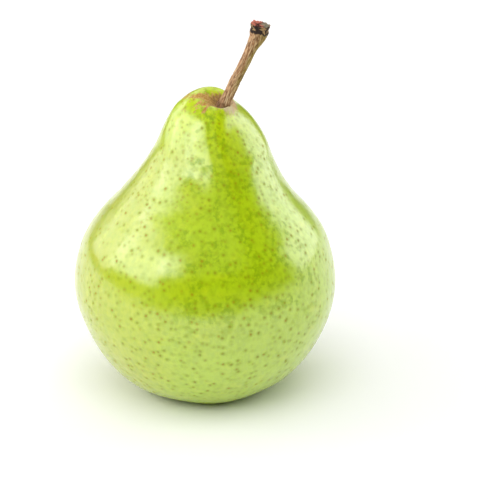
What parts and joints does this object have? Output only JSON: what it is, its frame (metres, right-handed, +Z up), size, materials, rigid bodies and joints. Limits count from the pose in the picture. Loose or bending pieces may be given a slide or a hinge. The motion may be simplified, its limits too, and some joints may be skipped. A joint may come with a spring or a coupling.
{
  "type": "pear",
  "caption": "Whole ripe green pear with a broad belly, a neck that leans a little, and a woody stem, standing on a small flat spot round its calyx basin.",
  "frame": {"origin": "middle of the flat spot that the fruit rests on, at its bottom", "axes": "+Z up the fruit from its blossom end to its stem, +X the side that the neck and the stem lean to"},
  "size_m": [0.0758, 0.075, 0.111],
  "materials": {
    "skin": "satin",
    "stem": "matte",
    "calyx": "matte"
  },
  "bodies": {
    "root": {"fruit_body": "skin", "stem": "stem", "sepal_1": "calyx", "sepal_2": "calyx", "sepal_3": "calyx", "sepal_4": "calyx", "sepal_5": "calyx", "style_1": "calyx", "style_2": "calyx", "style_3": "calyx", "style_4": "calyx", "style_5": "calyx", "stamen_01": "calyx", "stamen_02": "calyx", "stamen_03": "calyx", "stamen_04": "calyx", "stamen_05": "calyx", "stamen_06": "calyx", "stamen_07": "calyx", "stamen_08": "calyx", "stamen_09": "calyx", "stamen_10": "calyx"}
  },
  "joints": []
}
